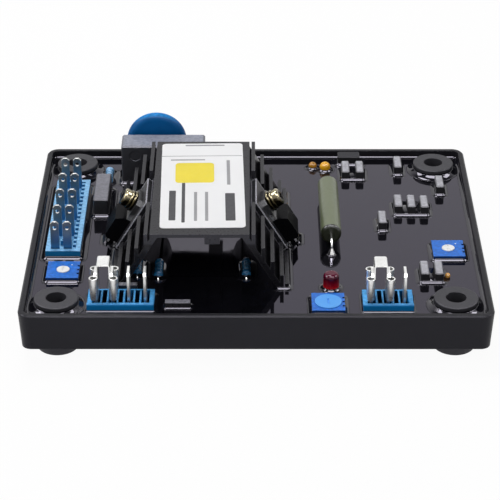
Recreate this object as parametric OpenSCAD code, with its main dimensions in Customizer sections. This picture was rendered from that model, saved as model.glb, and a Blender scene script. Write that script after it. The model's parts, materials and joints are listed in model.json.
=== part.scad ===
// Automatic voltage regulator: a resin-filled tray on four rubber bushes, with a finned heatsink arch,
// two leaning power devices, push-on terminals, plug-in links, trimmers and standing components.
// Origin: centre of the tray, on the plane under the feet. +X right, +Y back, +Z up. Millimetres.

/* [Tray] */
// Width of the tray at the rim, along X
tray_w = 150; // [142:1:165]
// Depth of the tray at the rim, along Y
tray_d = 118; // [112:1:130]
// Height of the tray wall, from its underside to the rim
tray_h = 12.5; // [11.5:0.5:16]
// Thickness of the tray wall at the rim
tray_wall = 1.9; // [1.5:0.1:2.4]
// Thickness of the tray floor
tray_floor = 1.8; // [1.2:0.1:2.4]
// Lean of each outer wall, from the underside to the rim
tray_draft = 0.8; // [0.2:0.1:1]
// Radius of the upright corners at the rim
tray_corner_r = 4; // [3:0.5:6]
// Bevel along the outer edge of the rim
rim_bevel = 0.5; // [0.2:0.1:0.8]

/* [Board and resin] */
// Depth of the resin surface below the rim
resin_drop = 2.8; // [2:0.1:3.5]
// Thickness of the circuit board
board_t = 1.6; // [1:0.1:2]
// Height of the rails that carry the board above the tray floor
board_lift = 1.2; // [0.8:0.1:1.8]
// Width of each board rail
rail_w = 4; // [3:0.5:6]
// Gap between the board's edge and the tray wall
board_gap = 0.8; // [0.4:0.1:1.5]

/* [Mounting bushes] */
// Distance of each bush from the side of the tray
bush_inset_x = 11.5; // [10.5:0.5:14]
// Distance of each bush from the front or back of the tray
bush_inset_y = 11.5; // [10.5:0.5:14]
// Radius of the bolt hole through a bush
bush_bore_r = 3.3; // [2.6:0.1:3.6]
// Radius of the neck that passes through the tray
bush_neck_r = 4.6; // [4.4:0.1:5]
// Radius of the upper flange
bush_flange_r = 7.1; // [6.8:0.05:7.5]
// Thickness of the upper flange
bush_flange_h = 1.6; // [1.6:0.1:2.4]
// Radius of the foot under the tray
foot_r = 6.7; // [6.2:0.1:7.5]
// Height of the foot under the tray
foot_h = 5; // [3:0.5:8]
// Rounding of the bush edges
bush_round = 0.4; // [0.2:0.1:0.8]
// Wall of the tray boss round a bush neck
boss_wall = 1.2; // [1:0.1:1.5]

/* [Terminal block] */
// Width of the block, along X
block_w = 11.5; // [10.5:0.5:12.5]
// Height of the block above the resin
block_rise = 3.1; // [2.5:0.1:4]
// Number of terminal rows
block_rows = 5; // [3:1:5]
// Distance between terminal rows
block_pitch = 11.6; // [9:0.1:12]
// Distance between the two terminal columns
column_pitch = 4.1; // [3.8:0.1:4.6]
// Length of the block beyond its end terminals
block_end = 2.1; // [1.5:0.1:3]
// Width of a block terminal
block_tab_w = 2.8; // [2.2:0.1:3.2]
// Height of a block terminal above the resin
block_tab_rise = 12.8; // [9:0.2:14]

/* [Links and their headers] */
// Distance between header terminals
header_pitch = 5.2; // [4.8:0.1:5.6]
// Depth of a header, along Y
header_d = 11; // [10:0.2:12]
// Height of a header above the resin
header_rise = 2; // [1.6:0.1:2.6]
// Height of the front lip above the rest of the header
lip_rise = 0.7; // [0.5:0.1:0.9]
// Width of a header terminal, along Y
header_tab_w = 6.3; // [5.6:0.1:6.6]
// Height of a header terminal above the resin
header_tab_rise = 12.3; // [11:0.1:14]
// Thickness of every push-on terminal
tab_t = 0.8; // [0.6:0.1:0.9]
// Diameter of the locking hole in every push-on terminal
tab_hole_d = 1.4; // [1:0.1:1.6]
// Thickness of the sheet that a link is stamped from
link_t = 0.4; // [0.3:0.05:0.5]
// Gap between a link and the terminal that it grips
link_fit = 0.05; // [0.03:0.01:0.08]
// Height of a link's receptacle
receptacle_h = 7.5; // [6.5:0.1:8]
// Outer radius of a receptacle's rolled edge
roll_r = 1.4; // [1.35:0.05:1.5]
// Height of a link's bridge above its receptacles
bridge_rise = 4.5; // [3.5:0.1:5.5]
// Gap between a link and the header under it
link_lift = 0.8; // [0.6:0.1:1.5]

/* [Trimmers] */
// Width of a trimmer, along X
trimmer_w = 10.5; // [9.5:0.1:11.5]
// Depth of a trimmer, along Y
trimmer_d = 11; // [10:0.1:12]
// Height of a trimmer above the resin
trimmer_rise = 1.7; // [1.4:0.1:2.4]
// Radius of the small rotors
small_rotor_r = 2.1; // [1.6:0.1:2.6]
// Radius of the large rotor
large_rotor_r = 4.3; // [3.6:0.1:4.6]
// Depth of a rotor's seat
rotor_seat = 1; // [0.7:0.1:1.2]
// Height of a rotor above its trimmer
rotor_rise = 0.25; // [0.1:0.05:0.6]
// Running gap round a rotor
rotor_fit = 0.06; // [0.03:0.01:0.09]
// Width of a rotor's screwdriver slot
slot_w = 0.6; // [0.4:0.1:0.8]

/* [Heatsink] */
// Gap between the left header and the heatsink
sink_front_gap = 3.25; // [3:0.05:5]
// Gap between the heatsink and the large box capacitor
sink_back_gap = 6.85; // [5:0.05:9]
// Height of the heatsink above the resin
sink_rise = 20.1; // [18:0.1:22]
// Half of the width of the top plate
plate_half = 15.9; // [15:0.1:17]
// Thickness of the top plate
plate_t = 1.2; // [1:0.1:2]
// Slope of the legs, in degrees from level
leg_slope = 58.5; // [57:0.5:61]
// Thickness of the sloping legs
leg_t = 1.8; // [1.5:0.1:2.2]
// Height of the fins, square to the leg
fin_h = 2; // [1.6:0.1:2.2]
// Thickness of a fin
fin_t = 1.2; // [1:0.05:1.4]
// Distance between fins, along X
fin_pitch = 3.05; // [2.8:0.05:3.4]
// Width of the groove between the top plate and the first fin
plate_groove = 0.7; // [0.4:0.1:1]
// Width of the rib under the top plate
rib_w = 4.9; // [3:0.1:6]
// Depth of the rib under the top plate
rib_h = 2.4; // [1:0.1:2.6]
// Thickness of the label on the top plate
label_t = 0.15; // [0.1:0.05:0.3]
// Margin between the label and the sides of the top plate
label_side = 2.1; // [1.8:0.1:4]
// Margin between the label and the ends of the top plate
label_end = 2.95; // [2.5:0.05:5]

/* [Power devices] */
// Width of a device body, along Y
device_w = 10.6; // [10:0.1:11]
// Length of a device body, down the slope
device_l = 9.3; // [8.8:0.1:9.6]
// Thickness of a device body
device_t = 4.8; // [4.2:0.1:5]
// Thickness of a device's metal tab
device_tab_t = 1.5; // [1.2:0.1:1.6]
// Length of the metal tab above the body
device_tab_l = 7.8; // [7.6:0.1:8.2]
// Distance of the screw from the tab's upper edge
screw_inset = 3.1; // [2.8:0.1:3.4]
// Diameter of the clamping screw
screw_d = 3; // [2.5:0.1:3.5]
// Diameter of the screw head
screw_head_d = 6; // [5.5:0.1:6.4]
// Height of the screw head
screw_head_h = 2.1; // [1.9:0.1:2.6]
// Outer diameter of the flat washer
washer_d = 7.2; // [6.6:0.1:7.6]
// Thickness of the flat washer
washer_t = 1.1; // [0.6:0.1:1.2]
// Thickness of the spring washer
spring_t = 1.2; // [0.8:0.1:1.4]
// Width of the insulator, along Y
insulator_w = 17.4; // [15:0.1:19]
// Length of the insulator, down the slope
insulator_l = 20.1; // [18:0.1:20.2]
// Gap between the insulator and the ends of the cut fins
pocket_gap = 2.7; // [1:0.1:3.5]

/* [Standing components] */
// Width of a small film capacitor, along X
film_w = 2.8; // [2.2:0.1:3.2]
// Depth of a small film capacitor, along Y
film_d = 8.6; // [7:0.1:9]
// Height of a small film capacitor above the resin
film_rise = 3.7; // [2.5:0.1:5]
// Width of the large box capacitor
box_w = 29.3; // [24:0.1:30]
// Depth of the large box capacitor
box_d = 9.8; // [8:0.1:10]
// Height of the large box capacitor above the resin
box_rise = 14.9; // [11:0.1:17]
// Width of the narrow box capacitor
narrow_w = 5.2; // [4:0.1:5.6]
// Depth of the narrow box capacitor
narrow_d = 20; // [16:0.2:21]
// Height of the narrow box capacitor above the resin
narrow_rise = 6.7; // [5:0.1:9]
// Diameter of the surge disc
disc_d = 21.2; // [17:0.2:22]
// Thickness of the surge disc
disc_t = 4.4; // [3:0.1:4.6]
// Diameter of the wirewound resistor
wound_d = 6.9; // [5.5:0.1:7.2]
// Length of the wirewound resistor
wound_l = 37.1; // [32:0.1:42]
// Diameter of the indicator lamp
lamp_d = 5.2; // [4:0.1:5.6]
// Height of the indicator lamp above the resin
lamp_rise = 5.6; // [4:0.1:7]
// Diameter of a small axial resistor over its swollen ends
axial_d = 3; // [2.6:0.1:3.4]
// Length of a small axial resistor
axial_l = 9.4; // [8.5:0.1:10]
// Diameter of every bare lead
lead_d = 0.8; // [0.6:0.05:0.9]

/* [Hidden] */
$fn = 48;

// Small margin by which cutting shapes pass through what they cut
cut = 0.5;
// Levels
rim_top = foot_h + tray_h;
floor_top = foot_h + tray_floor;
resin_top = rim_top - resin_drop;
board_bottom = floor_top + board_lift;
board_top = board_bottom + board_t;
boss_rise = 1.4;
boss_top = resin_top + boss_rise;
// Inside of the tray
inner_w = tray_w - 2 * tray_wall;
inner_d = tray_d - 2 * tray_wall;
inner_r = tray_corner_r - tray_wall;
boss_r = bush_neck_r + boss_wall;

// Places of the bushes
bush_x = tray_w / 2 - bush_inset_x;
bush_y = tray_d / 2 - bush_inset_y;

// Places of the components on the board, as shares of the tray's width and depth from its middle
function at(share) = [share[0] * tray_w, share[1] * tray_d];
block_at = at([-0.425, 0.0678]);
left_trimmer_at = at([-0.4193, -0.2331]);
right_trimmer_at = at([0.426, -0.1119]);
front_trimmer_at = at([0.1527, -0.4068]);
box_at = at([-0.2163, 0.3492]);
disc_at = at([-0.234, 0.4195]);
narrow_at = at([-0.3533, 0.1839]);
corner_resistor_at = at([-0.346, 0.3462]);
wound_at = at([0.1673, 0.0758]);
lamp_at = at([0.1614, -0.3089]);
back_bead_small_at = at([0.1367, 0.4127]);
back_bead_large_at = at([0.166, 0.4]);
side_bead_at = at([0.416, -0.2508]);
film_at = [
    at([0.2133, 0.3661]), at([0.2467, 0.3661]), at([0.338, 0.3983]), at([0.43, 0.2695]),
    at([0.3273, 0.1475]), at([0.3573, 0.1449]), at([0.3867, 0.1424]), at([0.2867, 0.0466]),
    at([0.3653, -0.2475]), at([0.396, -0.2475])
];
wide_at = at([0.2233, 0.4458]);

// The headers stand between the front bushes, each a gap away from its bush
header_margin = 0.2;
left_header_gap = 2.8;
right_header_gap = 6.5;
header_y_share = -0.3898;
right_header_back = 0.4;
header_room = bush_x - bush_flange_r;
left_header_at = [header_w(4) / 2 + left_header_gap - header_room, header_y_share * tray_d];
right_header_at = [header_room - right_header_gap - header_w(3) / 2, left_header_at[1] - right_header_back];

// The heatsink fills the room between the left header and the box capacitor
sink_x_share = -0.12;
sink_front = left_header_at[1] + header_d / 2 + sink_front_gap;
sink_back = box_at[1] - box_d / 2 - sink_back_gap;
sink_l = sink_back - sink_front;
sink_at = [sink_x_share * tray_w, (sink_front + sink_back) / 2];

// The axial resistors under the arch, as shares of the plate's half width and the heatsink's length
arch_share = [[-1.302, -0.2984], [-0.868, -0.3209], [0.937, -0.3134]];
arch_at = [for (p = arch_share) sink_at + [p[0] * plate_half, p[1] * sink_l]];

// The networks lie beside and behind the left header
front_network_size = [8, 2.4];
front_network_gap = 3.5;
front_network_back = 2.3;
front_network_at = [
    left_header_at[0] + header_w(4) / 2 + front_network_gap + front_network_size[0] / 2,
    left_header_at[1] - front_network_back
];
rear_network_size = [6, 2];
rear_network_gap = 0.5;
rear_network_shift = 1.9;
rear_network_at = [
    left_header_at[0] + rear_network_shift,
    left_header_at[1] + header_d / 2 + rear_network_gap + rear_network_size[1] / 2
];

// Terminal block
block_l = (block_rows - 1) * block_pitch + tab_t + 2 * block_end;
function row_y(row) = block_at[1] + (row - (block_rows - 1) / 2) * block_pitch;
column_shift = -0.55;
block_wall = 1.6;
trench_depth = 2;
post_w = 1.5;
post_drop = 0.3;
post_hole_r = 0.4;
tooth_l = 1.2;
tooth_w = 1.3;
teeth_per_row = 4;
tab_bevel = 0.8;
tab_hole_drop = 2.2;

// Headers and links
lip_d = 1.6;
lip_round = 0.4 * lip_d;
seat_w = 2.6;
seat_d = 8.6;
seat_depth = 4;
seat_shift = 0.45;
gap_slot_w = 1.4;
header_top = resin_top + header_rise;
link_bottom = header_top + lip_rise + link_lift;
receptacle_top = link_bottom + receptacle_h;
bridge_top = receptacle_top + bridge_rise;
bridge_half = header_pitch / 2 - tab_t / 2 - link_fit;
roll_reach = 2 * roll_r;
roll_taper = 0.25;
roll_point = 0.85;
bend_r = 0.8;

// Trimmers
trimmer_top = resin_top + trimmer_rise;
pin_notch_w = 0.9;
pin_notch_d = 0.7;
pin_notch_pitch = 2.5;
slot_depth = 0.3;
small_slot_share = 0.75;
large_slot_share = 0.35;
rotor_end_gap = 0.1;

// Heatsink section, measured from its own middle line
sink_top = resin_top + sink_rise;
plate_bottom = sink_top - plate_t;
fin_one_x = plate_half + plate_groove + fin_t / 2;
fin_rise = fin_h / cos(leg_slope);
leg_span = leg_t / sin(leg_slope);
function fin_line(x) = sink_top - tan(leg_slope) * (x - fin_one_x);
function leg_line(x) = fin_line(x) - fin_rise;
function leg_outer_x(z) = fin_one_x + (sink_top - fin_rise - z) / tan(leg_slope);
foot_gap = 0.2;
foot_rise = 2.1;
foot_web_drop = 0.6;
foot_x = leg_outer_x(resin_top) + foot_gap;
fin_count = 1 + floor((leg_outer_x(resin_top) - fin_t / 4 - fin_one_x) / fin_pitch);
rib_x = 4;
label_corner = 1.5;
label_w = 2 * (plate_half - label_side);
label_l = sink_l - 2 * label_end;
label_shift = [0.3, 1.2];
label_turn = 1.2;
// Places down the slope, from the first fin's upper edge
tab_start = 4.6;
screw_s = tab_start + screw_inset;
body_start = tab_start + device_tab_l;
body_end = body_start + device_l;
body_lean = device_t / 3;
insulator_start = 1.8;
insulator_end = insulator_start + insulator_l;
pocket_w = insulator_w + 2 * pocket_gap;
device_pitch = 2.54;
lead_w = 0.9;
lead_t = 0.6;
lead_height = 2.5;
head_round = 0.9;
recess_w = 0.9;
recess_l = 3.2;
recess_depth = 1.3;
spring_d = (washer_d + screw_head_d) / 2;
spring_gap = 0.8;
tab_corner = 1.5;
tab_side = 0.3;
tab_w = device_w - 2 * tab_side;
tab_end = body_end - device_l / 4;

// Standing components
film_corner = 0.5;
film_bevel = 0.35;
box_bevel = 0.6;
wide_w = 7.8;
wide_d = 4.4;
front_network_rise = 2;
rear_network_rise = 3;
bead_small_r = 1.45;
bead_large_r = 1.9;
bead_side_r = 0.9;
bead_float = 0.7;
bead_stem = 0.6;
disc_gap = 0.3;
disc_lead_pitch = 7.5;
wound_gap = 1.4;
wound_end_r = 1.1;
wound_axis = resin_top + wound_gap + wound_d / 2;
lead_reach = 5.2;
lead_bend = 2.2;
swell_r = 1.2;
swell_low = 0.6;
axial_lift = 0.8;
axial_axis = resin_top + axial_lift;
axial_waist = 0.3;
axial_cap_l = 2;
axial_round = 0.5;
axial_reach = 1.8;
axial_bend = 1;
band_l = 0.7;
band_pitch = 1.5;
band_count = 3;
lamp_round = 0.25 * lamp_d;
mark_r = 2;
mark_depth = 0.2;
mark_z = resin_top + 0.75 * box_rise;

// A flat outline with rounded corners, centred on the origin
module rounded_rect(w, d, r) {
    square([w - 2 * r, d], center = true);
    square([w, d - 2 * r], center = true);
    for (x = [-1, 1], y = [-1, 1])
        translate([x * (w / 2 - r), y * (d / 2 - r)]) circle(r);
}

// A block with rounded upright corners whose four sides lean out by grow over its height
module leaning_block(w, d, r, grow, h) {
    rotate([90, 0, 0]) linear_extrude(d - 2 * r, center = true)
        polygon([[-w / 2, 0], [w / 2, 0], [w / 2 + grow, h], [-w / 2 - grow, h]]);
    rotate([90, 0, 90]) linear_extrude(w - 2 * r, center = true)
        polygon([[-d / 2, 0], [d / 2, 0], [d / 2 + grow, h], [-d / 2 - grow, h]]);
    for (x = [-1, 1], y = [-1, 1])
        translate([x * (w / 2 - r), y * (d / 2 - r), 0]) cylinder(r1 = r, r2 = r + grow, h = h);
}

// A moulded box that stands on the board, with rounded corners and a bevelled top
module moulded_box(p, w, d, top, r, bevel) {
    translate([p[0], p[1], board_top]) linear_extrude(top - bevel - board_top) rounded_rect(w, d, r);
    translate([p[0], p[1], top - bevel]) leaning_block(w, d, r, -bevel, bevel);
}

// A flat push-on terminal, upright on the board, its face square to Y
module push_tab(w, top) {
    rotate([90, 0, 0]) linear_extrude(tab_t, center = true) difference() {
        polygon([
            [-w / 2, board_top], [w / 2, board_top], [w / 2, top - tab_bevel], [w / 2 - tab_bevel, top],
            [-w / 2 + tab_bevel, top], [-w / 2, top - tab_bevel]
        ]);
        translate([0, top - tab_hole_drop]) circle(d = tab_hole_d);
    }
}

// The tray: leaning walls, floor, board rails and a boss for each bush
module tray() {
    color([0.09, 0.09, 0.1]) difference() {
        union() {
            difference() {
                union() {
                    translate([0, 0, foot_h])
                        leaning_block(tray_w - 2 * tray_draft, tray_d - 2 * tray_draft,
                            tray_corner_r - tray_draft, tray_draft, tray_h - rim_bevel);
                    translate([0, 0, rim_top - rim_bevel])
                        leaning_block(tray_w, tray_d, tray_corner_r, -rim_bevel, rim_bevel);
                }
                translate([0, 0, floor_top]) linear_extrude(tray_h) rounded_rect(inner_w, inner_d, inner_r);
            }
            board_rails();
            bush_places() translate([0, 0, floor_top]) cylinder(r = boss_r, h = boss_top - floor_top);
        }
        bush_places() translate([0, 0, foot_h - cut]) cylinder(r = bush_neck_r, h = tray_h);
    }
}

module board_rails() {
    rail_l = inner_d - 2 * inner_r;
    for (x = [-1, 1])
        translate([x * (inner_w / 2 - rail_w / 2), 0, floor_top + board_lift / 2])
            cube([rail_w, rail_l, board_lift], center = true);
}

module bush_places() {
    for (x = [-1, 1], y = [-1, 1]) translate([x * bush_x, y * bush_y, 0]) children();
}

// The resin that fills the tray round the board and round everything that stands on it
module resin() {
    color([0.05, 0.05, 0.06]) difference() {
        translate([0, 0, floor_top]) linear_extrude(resin_top - floor_top)
            rounded_rect(inner_w, inner_d, inner_r);
        board_rails();
        translate([0, 0, board_bottom]) linear_extrude(board_t) board_outline();
        bush_places() translate([0, 0, floor_top - cut]) cylinder(r = boss_r, h = tray_h);
        sunk_blocks();
        sunk_leads();
        heatsink();
    }
}

// Footprints of the parts that stand upright through the resin
module sunk_blocks() {
    footprint(block_at, [block_w, block_l]);
    footprint(left_header_at, [header_w(4), header_d]);
    footprint(right_header_at, [header_w(3), header_d]);
    for (p = [left_trimmer_at, right_trimmer_at, front_trimmer_at]) footprint(p, [trimmer_w, trimmer_d]);
    for (p = film_at) rounded_footprint(p, [film_w, film_d], film_corner);
    rounded_footprint(wide_at, [wide_w, wide_d], film_corner);
    rounded_footprint(box_at, [box_w, box_d], box_bevel);
    rounded_footprint(narrow_at, [narrow_w, narrow_d], box_bevel);
    footprint(front_network_at, front_network_size);
    footprint(rear_network_at, rear_network_size);
    translate([lamp_at[0], lamp_at[1], board_top]) cylinder(d = lamp_d, h = tray_h);
}

// Leads and round parts that reach into the resin
module sunk_leads() {
    bead(back_bead_small_at, bead_small_r);
    bead(back_bead_large_at, bead_large_r);
    bead(side_bead_at, bead_side_r);
    disc_leads();
    component_leads();
    corner_resistor();
    arch_resistors();
    for (side = [-1, 1]) device_leads(side);
}

module footprint(p, size) {
    translate([p[0], p[1], board_top]) linear_extrude(tray_h) square(size, center = true);
}

module rounded_footprint(p, size, r) {
    translate([p[0], p[1], board_top]) linear_extrude(tray_h) rounded_rect(size[0], size[1], r);
}

module board_outline() {
    difference() {
        rounded_rect(inner_w - 2 * board_gap, inner_d - 2 * board_gap, inner_r);
        for (x = [-1, 1], y = [-1, 1]) translate([x * bush_x, y * bush_y]) circle(boss_r + board_gap);
    }
}

module circuit_board() {
    color([0.1, 0.3, 0.15]) translate([0, 0, board_bottom]) linear_extrude(board_t) board_outline();
}

// A rubber bush: foot, neck and upper flange in one moulding
module bush(x, y) {
    flange_top = boss_top + bush_flange_h;
    color([0.16, 0.16, 0.17]) translate([x * bush_x, y * bush_y, 0]) rotate_extrude() {
        ring_section(foot_r, 0, foot_h);
        translate([bush_bore_r, foot_h - cut])
            square([bush_neck_r - bush_bore_r, boss_top - foot_h + 2 * cut]);
        ring_section(bush_flange_r, boss_top, flange_top);
    }
}

// Section of a rubber ring from the bore out to r, its outer edges rounded
module ring_section(r, z0, z1) {
    translate([bush_bore_r, z0]) square([r - bush_round - bush_bore_r, z1 - z0]);
    translate([bush_bore_r, z0 + bush_round]) square([r - bush_bore_r, z1 - z0 - 2 * bush_round]);
    for (z = [z0 + bush_round, z1 - bush_round]) translate([r - bush_round, z]) circle(bush_round);
}

module bush_front_left() { bush(-1, -1); }
module bush_front_right() { bush(1, -1); }
module bush_back_left() { bush(-1, 1); }
module bush_back_right() { bush(1, 1); }

// The moulded block that carries two columns of push-on terminals in a trench
module terminal_block() {
    top = resin_top + block_rise;
    color([0.4, 0.68, 0.88]) difference() {
        translate([block_at[0], block_at[1], board_top]) linear_extrude(top - board_top)
            square([block_w, block_l], center = true);
        translate([block_at[0], block_at[1], top - trench_depth]) difference() {
            linear_extrude(trench_depth + cut)
                square([block_w - 2 * block_wall, block_l - 2 * block_wall], center = true);
            linear_extrude(trench_depth - post_drop) {
                trench_posts();
                trench_teeth();
            }
        }
        terminal_tabs();
    }
}

// Pierced posts between the two columns, one between each pair of rows
module trench_posts() {
    for (row = [0 : block_rows - 2])
        translate([column_shift, row_y(row + 0.5) - block_at[1]]) difference() {
            square(post_w, center = true);
            circle(post_hole_r);
        }
}

// Teeth along the right wall of the trench
module trench_teeth() {
    for (i = [0 : teeth_per_row * (block_rows - 1)])
        translate([block_w / 2 - block_wall - tooth_l, row_y(i / teeth_per_row) - block_at[1] - tooth_w / 2])
            square([tooth_l + cut, tooth_w]);
}

module terminal_tabs() {
    color([0.8, 0.8, 0.78])
        for (row = [0 : block_rows - 1], side = [-1, 1])
            translate([block_at[0] + column_shift + side * column_pitch / 2, row_y(row), 0])
                push_tab(block_tab_w, resin_top + block_tab_rise);
}

// Headers: a moulded base with a front lip, a seat round each terminal and a slot between neighbours
function header_w(count) = count * header_pitch + 2 * header_margin;
function header_x(count, i) = (i - (count - 1) / 2) * header_pitch;

module header_base(p, count) {
    w = header_w(count);
    color([0.25, 0.6, 0.85]) difference() {
        union() {
            translate([p[0], p[1], board_top]) linear_extrude(header_top - board_top)
                square([w, header_d], center = true);
            translate([p[0], p[1] - header_d / 2 + lip_d / 2, 0]) rotate([90, 0, 90])
                linear_extrude(w, center = true) {
                    translate([-lip_d / 2, header_top - cut]) square([lip_d, cut + lip_rise - lip_round]);
                    translate([lip_round - lip_d / 2, header_top]) square([lip_d - 2 * lip_round, lip_rise]);
                    for (y = [-1, 1])
                        translate([y * (lip_d / 2 - lip_round), header_top + lip_rise - lip_round])
                            circle(lip_round);
                }
        }
        for (i = [0 : count - 1])
            translate([p[0] + header_x(count, i), p[1] + seat_shift, header_top - seat_depth])
                linear_extrude(tray_h) square([seat_w, seat_d], center = true);
        for (i = [0 : count - 2])
            translate([p[0] + header_x(count, i + 0.5), p[1] + seat_shift, header_top - seat_depth])
                linear_extrude(tray_h) square([gap_slot_w, seat_d], center = true);
        header_tabs(p, count);
    }
}

module header_tabs(p, count) {
    color([0.82, 0.82, 0.8])
        for (i = [0 : count - 1])
            translate([p[0] + header_x(count, i), p[1], 0]) rotate([0, 0, 90])
                push_tab(header_tab_w, resin_top + header_tab_rise);
}

module left_header() { header_base(left_header_at, 4); }
module left_header_tabs() { header_tabs(left_header_at, 4); }
module right_header() { header_base(right_header_at, 3); }
module right_header_tabs() { header_tabs(right_header_at, 3); }

// A plug-in link: two rolled receptacles joined by a bridge, stamped from one strip
module link(p, count) {
    color([0.86, 0.86, 0.84]) translate([p[0] + header_x(count, 0.5), p[1], 0]) {
        rotate([90, 0, 0]) linear_extrude(header_tab_w, center = true) bridge_section();
        for (side = [0, 1]) mirror([side, 0, 0]) receptacle_rolls();
    }
}

// The strip seen from the front: two upright walls and the bridge over them
module bridge_section() {
    difference() {
        bent_strip(bridge_half, bridge_top, bend_r);
        translate([0, -cut]) bent_strip(bridge_half - link_t, bridge_top - link_t + cut, bend_r - link_t);
    }
}

module bent_strip(half, top, r) {
    translate([-half, link_bottom]) square([2 * half, top - r - link_bottom]);
    translate([-half + r, link_bottom]) square([2 * half - 2 * r, top - link_bottom]);
    for (x = [-1, 1]) translate([x * (half - r), top - r]) circle(r);
}

// The two rolled edges of a receptacle, narrowing to a point at the bottom
module receptacle_rolls() {
    wall_x = bridge_half - link_t;
    intersection() {
        for (y = [-1, 1])
            translate([0, 0, link_bottom]) linear_extrude(receptacle_h) roll_section(wall_x, y);
        rotate([90, 0, 0]) linear_extrude(header_d, center = true) polygon([
            [wall_x, receptacle_top], [wall_x + roll_reach, receptacle_top],
            [wall_x + roll_reach, receptacle_top - receptacle_h * roll_taper],
            [wall_x + roll_point * roll_reach, link_bottom], [wall_x, link_bottom]
        ]);
    }
}

// Flat section of one rolled edge: a ring, open on the side that faces the terminal
module roll_section(wall_x, y) {
    translate([wall_x + roll_r, y * header_tab_w / 2]) difference() {
        circle(roll_r);
        circle(roll_r - link_t);
        translate([-roll_r - cut, y > 0 ? -roll_r - cut : 0]) square([roll_r + cut, roll_r + cut]);
    }
}

module left_link() { link(left_header_at, 4); }
module right_link() { link(right_header_at, 3); }

// A square trimmer with a round seat for its rotor and notches for its pins
module trimmer(p, rotor_r) {
    color([0.18, 0.42, 0.85]) difference() {
        translate([p[0], p[1], board_top]) linear_extrude(trimmer_top - board_top)
            square([trimmer_w, trimmer_d], center = true);
        translate([p[0], p[1], trimmer_top - rotor_seat])
            cylinder(r = rotor_r + rotor_fit, h = tray_h);
        for (i = [-1 : 1])
            translate([p[0] + trimmer_w / 2 - pin_notch_d, p[1] + i * pin_notch_pitch - pin_notch_w / 2,
                trimmer_top - trimmer_rise / 2])
                cube([pin_notch_d + cut, pin_notch_w, trimmer_rise]);
    }
}

module rotor(p, rotor_r, slot_share, tint) {
    bottom = trimmer_top - rotor_seat + rotor_end_gap;
    top = trimmer_top + rotor_rise;
    color(tint) difference() {
        translate([p[0], p[1], bottom]) cylinder(r = rotor_r, h = top - bottom);
        translate([p[0] - slot_w / 2, p[1] - slot_share * rotor_r, top - slot_depth])
            cube([slot_w, 2 * slot_share * rotor_r, slot_depth + cut]);
    }
}

module left_trimmer() { trimmer(left_trimmer_at, small_rotor_r); }
module left_rotor() { rotor(left_trimmer_at, small_rotor_r, small_slot_share, [0.93, 0.93, 0.92]); }
module right_trimmer() { trimmer(right_trimmer_at, small_rotor_r); }
module right_rotor() { rotor(right_trimmer_at, small_rotor_r, small_slot_share, [0.93, 0.93, 0.92]); }
module front_trimmer() { trimmer(front_trimmer_at, large_rotor_r); }
module front_rotor() { rotor(front_trimmer_at, large_rotor_r, large_slot_share, [0.4, 0.65, 0.95]); }

// Outline of one fin that stands on the sloping leg
function fin_points(x) = [
    [x - fin_t / 2, leg_line(x - fin_t / 2)], [x - fin_t / 2, fin_line(x)],
    [x + fin_t / 2, fin_line(x)], [x + fin_t / 2, leg_line(x + fin_t / 2)]
];

// Right half of the heatsink's section: top plate, leg with its fins, foot and inner face
sink_half = concat(
    [[plate_half, sink_top], [plate_half, leg_line(plate_half)]],
    [for (i = [0 : fin_count - 1]) each fin_points(fin_one_x + i * fin_pitch)],
    [
        [foot_x - foot_gap, resin_top - foot_web_drop], [foot_x, resin_top - foot_web_drop],
        [foot_x, resin_top + foot_rise], [foot_x + fin_t, resin_top + foot_rise],
        [foot_x + fin_t, board_top], [leg_outer_x(resin_top) - leg_span, board_top],
        [leg_outer_x(resin_top) - leg_span, resin_top], [leg_outer_x(plate_bottom) - leg_span, plate_bottom]
    ]
);
rib_points = [
    [rib_x + rib_w / 2, plate_bottom], [rib_x + rib_w / 2, plate_bottom - rib_h],
    [rib_x - rib_w / 2, plate_bottom - rib_h], [rib_x - rib_w / 2, plate_bottom]
];
function mirrored(points) = [for (i = [len(points) - 1 : -1 : 0]) [-points[i][0], points[i][1]]];

module sink_extrusion() {
    rotate([90, 0, 0]) linear_extrude(sink_l, center = true)
        polygon(concat(sink_half, rib_points, mirrored(sink_half)));
}

// Places its children on a leg: X down the slope, Z square to it, zero at the fins' outer edges
module on_slope(side) {
    translate([sink_at[0], sink_at[1], 0]) mirror([side < 0 ? 1 : 0, 0, 0])
        translate([fin_one_x, 0, sink_top]) rotate([0, leg_slope, 0]) children();
}

// The extruded arch: top plate, sloping legs and fins, with a flat pocket and a screw hole on each side
module heatsink() {
    color([0.13, 0.13, 0.14]) difference() {
        translate([sink_at[0], sink_at[1], 0]) sink_extrusion();
        for (side = [-1, 1]) {
            fin_pocket(side);
            on_slope(side) translate([screw_s, 0, -fin_h - leg_t - cut])
                cylinder(d = screw_d, h = leg_t + 2 * cut);
        }
    }
}

// The space cut out of the fins for a device, clear of the top plate
module fin_pocket(side) {
    difference() {
        on_slope(side) translate([-2 * fin_h, -pocket_w / 2, -fin_h])
            cube([2 * fin_h + insulator_end + pocket_gap, pocket_w, 3 * fin_h]);
        translate([sink_at[0] - plate_half, sink_at[1] - sink_l / 2, leg_line(plate_half)])
            cube([2 * plate_half, sink_l, 2 * fin_h]);
    }
}

// The label on the top plate, stuck on a little askew
module label() {
    color([0.93, 0.93, 0.94])
        translate([sink_at[0] + label_shift[0], sink_at[1] + label_shift[1], sink_top])
            rotate([0, 0, label_turn]) linear_extrude(label_t) rounded_rect(label_w, label_l, label_corner);
}

// The insulator between a leg and a device
module insulator(side) {
    color([0.3, 0.3, 0.32]) on_slope(side) difference() {
        translate([insulator_start, -insulator_w / 2, -fin_h])
            cube([insulator_end - insulator_start, insulator_w, fin_h]);
        translate([screw_s, 0, -fin_h - cut]) cylinder(d = screw_d, h = fin_h + 2 * cut);
    }
}

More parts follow.
